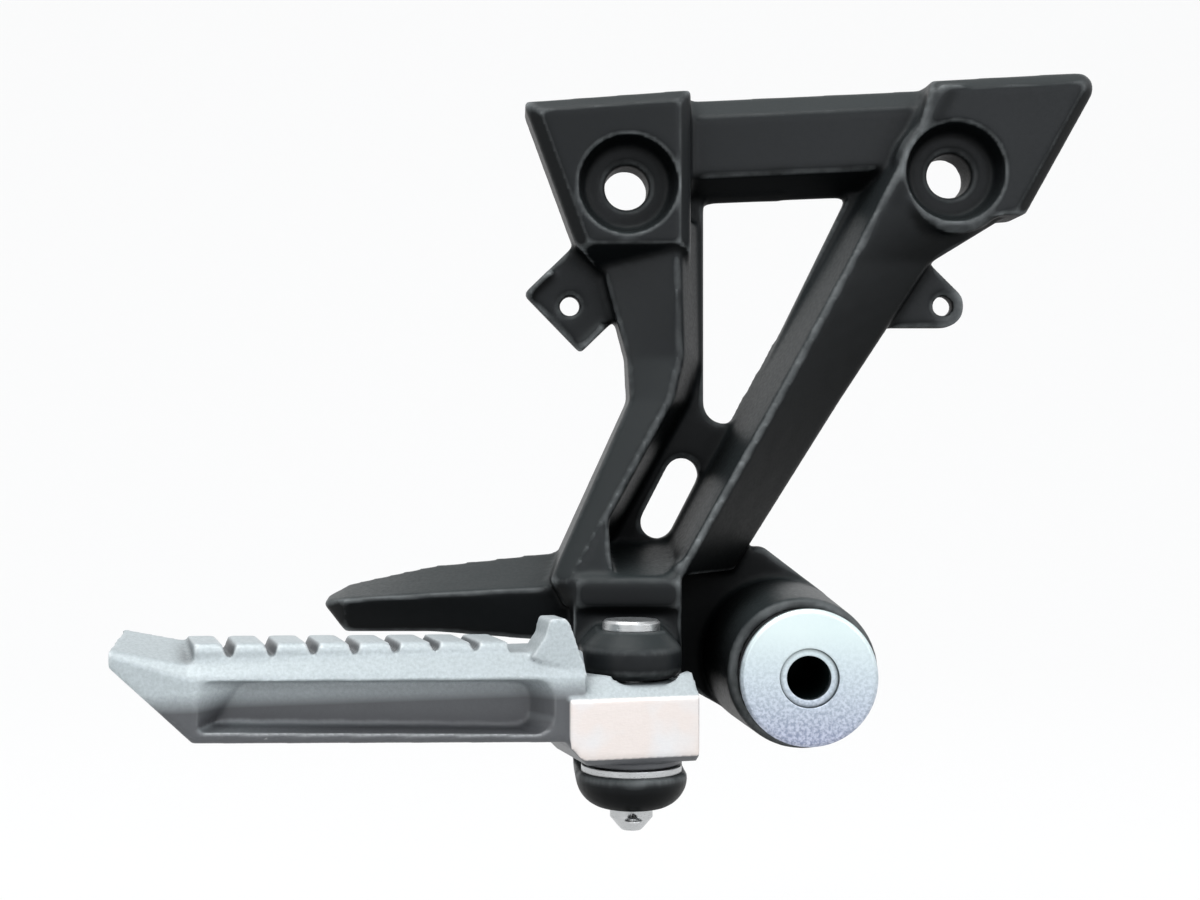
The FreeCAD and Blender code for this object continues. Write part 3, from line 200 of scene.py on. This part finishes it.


# Satin black paint on the casting with painted light: lighter on faces that look up, darker on faces that
# look down, painted shade in hollows and a painted highlight along its edges
def black_paint():
    material, tree, shader = start("black_paint")
    broad = noise(tree, 35.0, 3.0)
    grain = noise(tree, 1400.0, 3.0)
    # Painted light by facing: shaded colour for faces that look down, half lit for faces ahead, lit for
    # faces that look up
    low = mix(tree, broad, (0.0015, 0.002, 0.0022), (0.003, 0.0036, 0.0038))
    ahead = mix(tree, broad, (0.0065, 0.0078, 0.0085), (0.0105, 0.0118, 0.013))
    over = mix(tree, broad, (0.017, 0.0215, 0.0222), (0.025, 0.0297, 0.0303))
    painted_side_shade = mix(tree, upward(tree, -0.35, 0.05), low, ahead)
    painted_facing_light = mix(tree, upward(tree, 0.1, 0.8), painted_side_shade, over)
    # Painted highlight along outer edges, broken up by noise
    edge_highlight_share = ramp(tree, noise(tree, 260.0), 0.35, 0.65, 0.4, 1.0)
    painted_edge_highlight = math_node(tree, "MULTIPLY", edges(tree), edge_highlight_share)
    # Painted shade: near black in hollows
    open_air = hollows(tree, 0.016)
    hollow_shaded = mix(tree, ramp(tree, open_air, 0.35, 0.9, 0.85, 0.0), painted_facing_light, (0.002, 0.002, 0.002))
    tree.links.new(mix(tree, painted_edge_highlight, hollow_shaded, (0.18, 0.19, 0.19)), shader.inputs["Base Color"])
    tree.links.new(ramp(tree, grain, 0.3, 0.7, 0.36, 0.46), shader.inputs["Roughness"])
    # Specular held low on faces that look down and in hollows, painting shade there
    clear = ramp(tree, open_air, 0.35, 0.85, 0.1, 1.0)
    gloss = math_node(tree, "MULTIPLY", upward(tree, -0.9, 0.1), clear)
    tree.links.new(ramp(tree, gloss, 0.0, 1.0, 0.01, 0.16), shader.inputs["Specular IOR Level"])
    bump(tree, shader, grain, 0.12, 0.0001, 0.0003)
    return material


# Bare cast aluminium with painted light: bright on its upper part and upward faces as painted top light,
# dark elsewhere as painted shade, with painted shade in hollows, a painted highlight on upward edges, and
# the hinge block's outer face milled
def cast_aluminium():
    material, tree, shader = start("cast_aluminium")
    broad = noise(tree, 60.0, 4.0)
    grain = noise(tree, 1700.0, 4.0, 0.65)
    place = add(tree, "ShaderNodeTexCoord")
    along = add(tree, "ShaderNodeMapping", vector_type="TEXTURE")
    along.inputs["Location"].default_value = (PIN_X, PIN_Y, 0.0)
    along.inputs["Rotation"].default_value = (0.0, 0.0, REST_ANGLE)
    split = add(tree, "ShaderNodeSeparateXYZ")
    tree.links.new(place.outputs["Object"], along.inputs["Vector"])
    tree.links.new(along.outputs["Vector"], split.inputs["Vector"])
    # Painted top light: the peg's upper part and upward faces lit, the rest in painted shade
    top_light_from_height = ramp(tree, split.outputs["Z"], PIN_Z + TOP_LIGHT_START, PIN_Z + TOP_LIGHT_UPWARD, 0.0, 1.0)
    top_light_all_faces = ramp(tree, split.outputs["Z"], PIN_Z + TOP_LIGHT_UPWARD, PIN_Z + TOP_LIGHT_ALL, 0.0, 1.0)
    top_lit_faces = math_node(tree, "MAXIMUM", upward(tree, 0.05, 0.55), top_light_all_faces)
    painted_top_light = math_node(tree, "MULTIPLY", top_light_from_height, top_lit_faces)
    shaded_skin_color = mix(tree, broad, (0.058, 0.060, 0.064), (0.084, 0.086, 0.091))
    lit_skin_color = mix(tree, broad, (0.40, 0.44, 0.45), (0.45, 0.495, 0.505))
    skin = mix(tree, painted_top_light, shaded_skin_color, lit_skin_color)
    dark = mix(tree, ramp(tree, grain, 0.35, 0.75, 0.0, 0.3), skin, (0.10, 0.105, 0.11))
    # Painted shade in hollows and creases
    hollow_shade = ramp(tree, hollows(tree, 0.004), 0.5, 0.95, 0.85, 0.0)
    with_hollow_shade = mix(tree, hollow_shade, dark, (0.05, 0.05, 0.055))
    # Painted highlight on edges that look up
    edge_highlight_share = math_node(tree, "MULTIPLY", edges(tree), upward(tree, -0.35, 0.25))
    with_edge_highlight = mix(tree, math_node(tree, "MULTIPLY", edge_highlight_share, 0.5), with_hollow_shade, (0.62, 0.64, 0.64))
    milled = ramp(tree, split.outputs["Y"], MILLED_OUTER, MILLED_INNER, 1.0, 0.0)
    lines = noise(tree, 800.0, 3.0, 0.6, (1.0, 1.0, 12.0))
    warm = mix(tree, lines, (0.68, 0.615, 0.585), (0.80, 0.745, 0.715))
    cold = mix(tree, lines, (0.66, 0.655, 0.66), (0.78, 0.775, 0.775))
    bright = mix(tree, ramp(tree, noise(tree, 110.0, 2.0), 0.4, 0.6, 0.0, 1.0), warm, cold)
    tree.links.new(mix(tree, milled, with_edge_highlight, bright), shader.inputs["Base Color"])
    tree.links.new(ramp(tree, milled, 0.0, 1.0, 0.28, 0.95), shader.inputs["Metallic"])
    tree.links.new(ramp(tree, grain, 0.3, 0.7, 0.36, 0.5), shader.inputs["Roughness"])
    bump(tree, shader, grain, 0.2, 0.00012, 0.0002)
    return material


# Plain steel of the pin, split pin and detent pieces
def pin_steel():
    material, tree, shader = start("pin_steel")
    turned = noise(tree, 900.0, 3.0, 0.6, (1.0, 1.0, 6.0))
    color = mix(tree, turned, (0.40, 0.41, 0.42), (0.58, 0.59, 0.59))
    tree.links.new(color, shader.inputs["Base Color"])
    shader.inputs["Metallic"].default_value = 0.9
    tree.links.new(ramp(tree, turned, 0.3, 0.7, 0.25, 0.4), shader.inputs["Roughness"])
    bump(tree, shader, turned, 0.08, 0.0001, 0.0003)
    return material


# Zinc plate on the sleeve and disc, speckled, more violet toward its foot, with painted shade where it
# meets its neighbours and down its bore
def zinc_steel():
    material, tree, shader = start("zinc_steel")
    place = add(tree, "ShaderNodeTexCoord")
    split = add(tree, "ShaderNodeSeparateXYZ")
    tree.links.new(place.outputs["Object"], split.inputs["Vector"])
    low = ramp(tree, split.outputs["Z"], VIOLET_HEIGHT, PALE_HEIGHT, 1.0, 0.0)
    speck = noise(tree, 1500.0, 2.0, 0.7)
    pale = mix(tree, noise(tree, 70.0), (0.60, 0.70, 0.70), (0.68, 0.77, 0.765))
    violet = mix(tree, ramp(tree, speck, 0.4, 0.6, 0.0, 1.0), (0.23, 0.26, 0.36), (0.48, 0.51, 0.62))
    # Painted shade where the zinc meets its neighbours
    join_shade = ramp(tree, hollows(tree, 0.0009, alone=False), 0.55, 0.95, 0.9, 0.0)
    plate = mix(tree, join_shade, mix(tree, low, pale, violet), (0.06, 0.07, 0.07))
    # Painted shade down the bore: near black, not metallic, little specular
    bore_shade = ramp(tree, hollows(tree, 0.01), 0.5, 0.85, 1.0, 0.0)
    tree.links.new(mix(tree, bore_shade, plate, (0.008, 0.012, 0.012)), shader.inputs["Base Color"])
    tree.links.new(ramp(tree, bore_shade, 0.0, 1.0, 0.8, 0.0), shader.inputs["Metallic"])
    tree.links.new(ramp(tree, bore_shade, 0.0, 1.0, 0.5, 0.0), shader.inputs["Specular IOR Level"])
    tree.links.new(ramp(tree, speck, 0.3, 0.7, 0.35, 0.5), shader.inputs["Roughness"])
    bump(tree, shader, speck, 0.1, 0.0001, 0.0004)
    return material


# Rubber of the bush
def bush_rubber():
    material, tree, shader = start("bush_rubber")
    grain = noise(tree, 1200.0, 4.0)
    color = mix(tree, grain, (0.007, 0.007, 0.008), (0.016, 0.016, 0.017))
    tree.links.new(color, shader.inputs["Base Color"])
    tree.links.new(ramp(tree, grain, 0.3, 0.7, 0.6, 0.8), shader.inputs["Roughness"])
    shader.inputs["Specular IOR Level"].default_value = 0.3
    bump(tree, shader, grain, 0.2, 0.0001, 0.0005)
    return material


looks = {
    "black_paint": black_paint(),
    "cast_aluminium": cast_aluminium(),
    "pin_steel": pin_steel(),
    "zinc_steel": zinc_steel(),
    "bush_rubber": bush_rubber(),
}
for part in frame["record"]["subparts"]:
    node = frame["nodes"][part["node"]]
    node.data.materials.clear()
    node.data.materials.append(looks[part["material_slot"]])


# Cast pieces have no sharp edges: their corners are rounded off and their inner corners filled
def round_off(node, grid, rounds):
    skin = node.modifiers.new("skin", "REMESH")
    skin.mode = "VOXEL"
    skin.voxel_size = grid
    skin.use_smooth_shade = True
    soften = node.modifiers.new("soften", "SMOOTH")
    soften.factor = SMOOTH_FACTOR
    soften.iterations = rounds


# The peg is also drawn in a little, so that it still swings clear of the filled corners
def draw_in(node, depth):
    thin = node.modifiers.new("thin", "DISPLACE")
    thin.mid_level = 0.0
    thin.strength = -depth


round_off(frame["nodes"]["hanger_bracket"], HANGER_GRID, SMOOTH_ROUNDS)
round_off(frame["nodes"]["foot_peg"], PEG_GRID, SMOOTH_ROUNDS)
draw_in(frame["nodes"]["foot_peg"], PEG_DRAW_IN)

# Pale floor that sweeps up into a backdrop
floor_level = cad_box[0].z - FLOOR_DROP
profile = [(FLOOR_FRONT, 0.0), (SWEEP_START, 0.0)]
for step in range(1, SWEEP_STEPS + 1):
    angle = math.pi / 2 * step / SWEEP_STEPS
    out = SWEEP_START + SWEEP_RADIUS * math.sin(angle)
    up = SWEEP_RADIUS - SWEEP_RADIUS * math.cos(angle)
    profile.append((out, up))
profile.append((SWEEP_START + SWEEP_RADIUS, BACKDROP_TOP))
corners = []
for across in (-FLOOR_HALF_WIDTH, FLOOR_HALF_WIDTH):
    corners.extend((across, out, floor_level + up) for out, up in profile)
count = len(profile)
faces = [(step, step + 1, count + step + 1, count + step) for step in range(count - 1)]
sweep = bpy.data.meshes.new("floor")
sweep.from_pydata(corners, [], faces)
for face in sweep.polygons:
    face.use_smooth = True
floor = bpy.data.objects.new("floor", sweep)
scene.collection.objects.link(floor)
material, tree, shader = start("floor_paper")
paper_color = mix(tree, noise(tree, 40.0), (0.80, 0.80, 0.80), (0.84, 0.84, 0.84))
tree.links.new(paper_color, shader.inputs["Base Color"])
shader.inputs["Roughness"].default_value = 0.9
paper = add(tree, "ShaderNodeEmission")
blend = add(tree, "ShaderNodeMixShader")
share = math_node(tree, "MULTIPLY", shows_background(tree), PAPER_SHARE)
tree.links.new(share, blend.inputs["Fac"])
tree.links.new(shader.outputs["BSDF"], blend.inputs[1])
tree.links.new(paper.outputs["Emission"], blend.inputs[2])
tree.links.new(blend.outputs["Shader"], tree.nodes["Material Output"].inputs["Surface"])
floor.data.materials.append(material)

# World: white to the camera and in reflections, as light a dome that is bright overhead and grey lower down
world = bpy.data.worlds.new("studio")
scene.world = world
world.use_nodes = True
tree = world.node_tree
tree.nodes.clear()
world_output = add(tree, "ShaderNodeOutputWorld")
seen = add(tree, "ShaderNodeBackground")
dome = add(tree, "ShaderNodeBackground")
place = add(tree, "ShaderNodeTexCoord")
split = add(tree, "ShaderNodeSeparateXYZ")
tree.links.new(place.outputs["Generated"], split.inputs["Vector"])
height = ramp(tree, split.outputs["Z"], -0.1, 0.8, 0.0, 1.0)
tree.links.new(mix(tree, height, (0.16, 0.16, 0.165), (0.85, 0.93, 1.0)), dome.inputs["Color"])
seen.inputs["Color"].default_value = (1.0, 1.0, 1.0, 1.0)
choose = add(tree, "ShaderNodeMixShader")
tree.links.new(shows_background(tree), choose.inputs["Fac"])
tree.links.new(dome.outputs["Background"], choose.inputs[1])
tree.links.new(seen.outputs["Background"], choose.inputs[2])
tree.links.new(choose.outputs["Shader"], world_output.inputs["Surface"])


# Soft boxes
def soft_box(name, place, aim, width, height, power, color=(1.0, 1.0, 1.0)):
    data = bpy.data.lights.new(name, "AREA")
    data.shape = "RECTANGLE"
    data.size = width
    data.size_y = height
    data.energy = power
    data.color = color
    lamp = bpy.data.objects.new(name, data)
    scene.collection.objects.link(lamp)
    lamp.location = place
    lamp.rotation_euler = (Vector(aim) - Vector(place)).to_track_quat("-Z", "Y").to_euler()


middle = (cad_box[0] + cad_box[1]) / 2
soft_box("key", (-0.15, -0.22, 0.65), middle, 0.7, 0.5, 4.4)
soft_box("fill", (-0.6, -0.7, 0.25), middle, 0.5, 0.7, 1.5)
soft_box("side", (0.6, -0.3, 0.25), middle, 0.3, 0.6, 1.2)
soft_box("front", (0.20, -0.62, 0.13), (0.01, 0.0, 0.0), 0.3, 0.3, 1.0, (0.92, 0.95, 1.0))

# Camera fitted to the photograph's own perspective, framed on the one footrest
camera_data = bpy.data.cameras.new("camera")
camera = bpy.data.objects.new("camera", camera_data)
scene.collection.objects.link(camera)
camera.location = CAMERA_PLACE
camera.rotation_euler = (math.pi / 2, 0.0, 0.0)
camera_data.sensor_width = SENSOR_WIDTH
camera_data.lens = LENS
camera_data.shift_x, camera_data.shift_y = SHIFT
camera_data.clip_start = CLIP_START
scene.camera = camera
